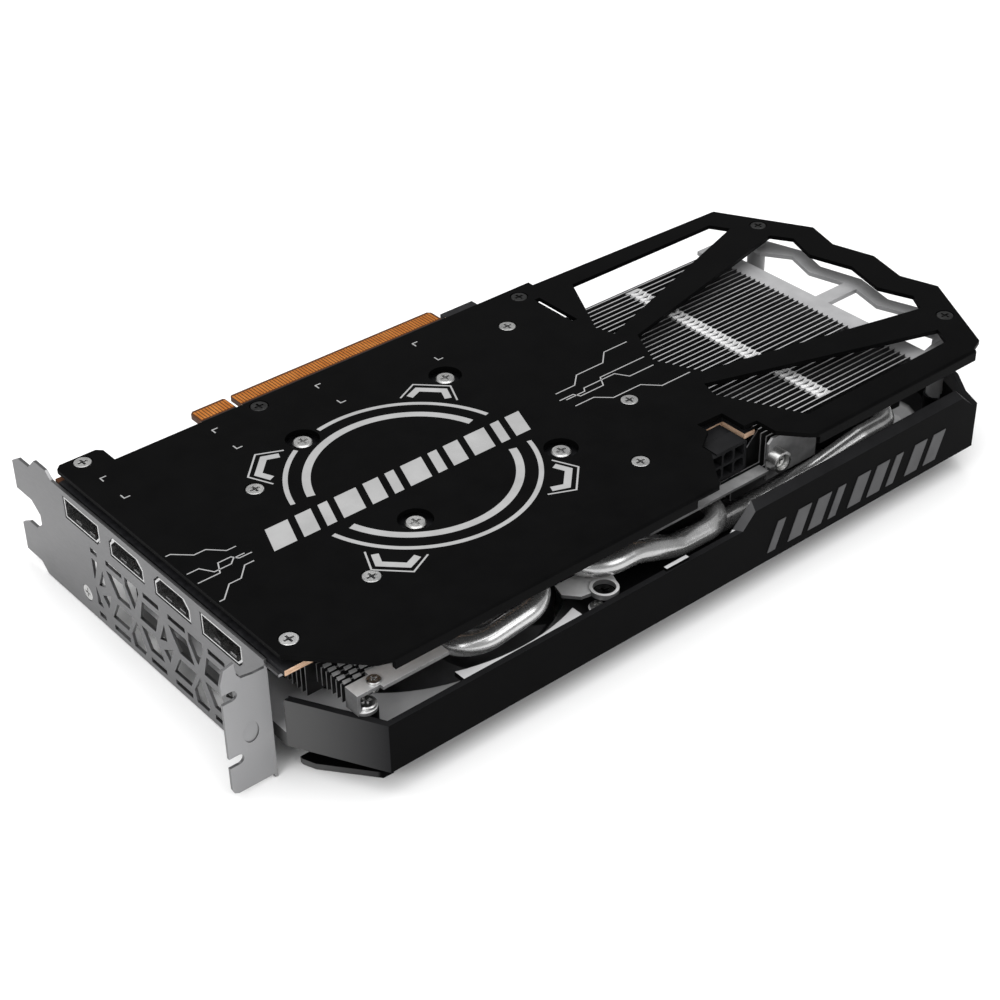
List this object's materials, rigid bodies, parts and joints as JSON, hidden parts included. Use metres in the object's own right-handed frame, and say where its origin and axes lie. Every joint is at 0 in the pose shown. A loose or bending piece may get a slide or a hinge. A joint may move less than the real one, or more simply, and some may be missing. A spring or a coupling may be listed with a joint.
{
  "type": "graphics card",
  "caption": "Two-slot graphics card with a windowed black backplate, finned heat-pipe cooler, plastic shroud, spinning fans and an I/O bracket with display ports.",
  "frame": {"origin": "centre of the overall box, at the height of the fan side on which the card rests", "axes": "+X from the I/O bracket to the tail, +Y from the power connector edge to the edge connector, +Z from the fans to the backplate"},
  "size_m": [0.2632, 0.146, 0.041],
  "materials": {
    "bracket_metal": "satin nickel plating",
    "screw_steel": "zinc plated",
    "port_shell": "stamped steel",
    "port_plastic": "moulded",
    "board": "black solder mask, tan cut edges",
    "gold": "hard gold plating",
    "chip_carrier": "laminate",
    "silicon": "polished",
    "chip_black": "moulded epoxy",
    "thermal_pad": "soft silicone",
    "inductor_grey": "pressed ferrite",
    "can_aluminium": "bare can",
    "header_white": "nylon",
    "connector_black": "nylon",
    "pin_tin": "tin plated",
    "backplate_black": "satin black with pale print",
    "screw_dark": "black oxide",
    "spring_steel": "spring wire",
    "pipe_nickel": "nickel plated",
    "fin_aluminium": "rolled sheet",
    "band_bright": "folded collars",
    "cold_plate_nickel": "nickel plated",
    "frame_steel": "brushed sheet",
    "shroud_black": "fine satin moulding",
    "tail_grey": "satin",
    "accent_grey": "satin",
    "bearing_brass": "sintered",
    "winding_copper": "enamelled wire on laminations",
    "fan_grey": "satin moulding",
    "shaft_steel": "ground",
    "cap_dark": "brushed dark disc"
  },
  "bodies": {
    "card": {"io_bracket": "bracket_metal", "bracket_screw": "screw_steel", "displayport_1_shell": "port_shell", "displayport_1_tongue": "port_plastic", "hdmi_1_shell": "port_shell", "hdmi_1_tongue": "port_plastic", "hdmi_2_shell": "port_shell", "hdmi_2_tongue": "port_plastic", "displayport_2_shell": "port_shell", "displayport_2_tongue": "port_plastic", "pcb": "board", "edge_contacts": "gold", "gpu_substrate": "chip_carrier", "gpu_die": "silicon", "memory_chips": "chip_black", "thermal_pads": "thermal_pad", "inductors": "inductor_grey", "mosfets": "chip_black", "capacitors": "can_aluminium", "fan_header": "header_white", "power_connector": "connector_black", "power_pins": "pin_tin", "backplate": "backplate_black", "backplate_screws_silver": "screw_steel", "backplate_screws_dark": "screw_dark", "tail_screws": "screw_dark", "standoffs": "screw_steel", "gpu_spring_screws": "screw_steel", "gpu_springs": "spring_steel", "heat_pipe_1": "pipe_nickel", "heat_pipe_2": "pipe_nickel", "heat_pipe_3": "pipe_nickel", "heat_pipe_4": "pipe_nickel", "fin_stack": "fin_aluminium", "fin_band": "band_bright", "cold_plate": "cold_plate_nickel", "frame_near": "frame_steel", "frame_mid": "frame_steel", "frame_tail": "frame_steel", "frame_screws": "screw_steel", "frame_eye_screw": "screw_dark", "shroud": "shroud_black", "tail_frame": "tail_grey", "side_accents": "accent_grey", "fan_1_base": "shroud_black", "fan_1_bearing": "bearing_brass", "fan_1_stator": "winding_copper", "fan_2_base": "shroud_black", "fan_2_bearing": "bearing_brass", "fan_2_stator": "winding_copper"},
    "fan_1": {"fan_1_rotor": "fan_grey", "fan_1_shaft": "shaft_steel", "fan_1_cap": "cap_dark"},
    "fan_2": {"fan_2_rotor": "fan_grey", "fan_2_shaft": "shaft_steel", "fan_2_cap": "cap_dark"}
  },
  "joints": [
    {"name": "fan_1_spin", "type": "hinge", "parent": "card", "child": "fan_1", "pos_m": [-0.0584, -0.0147, 0.006], "axis": [0, 0, 1], "continuous": true},
    {"name": "fan_2_spin", "type": "hinge", "parent": "card", "child": "fan_2", "pos_m": [0.0456, -0.0147, 0.006], "axis": [0, 0, 1], "continuous": true}
  ]
}
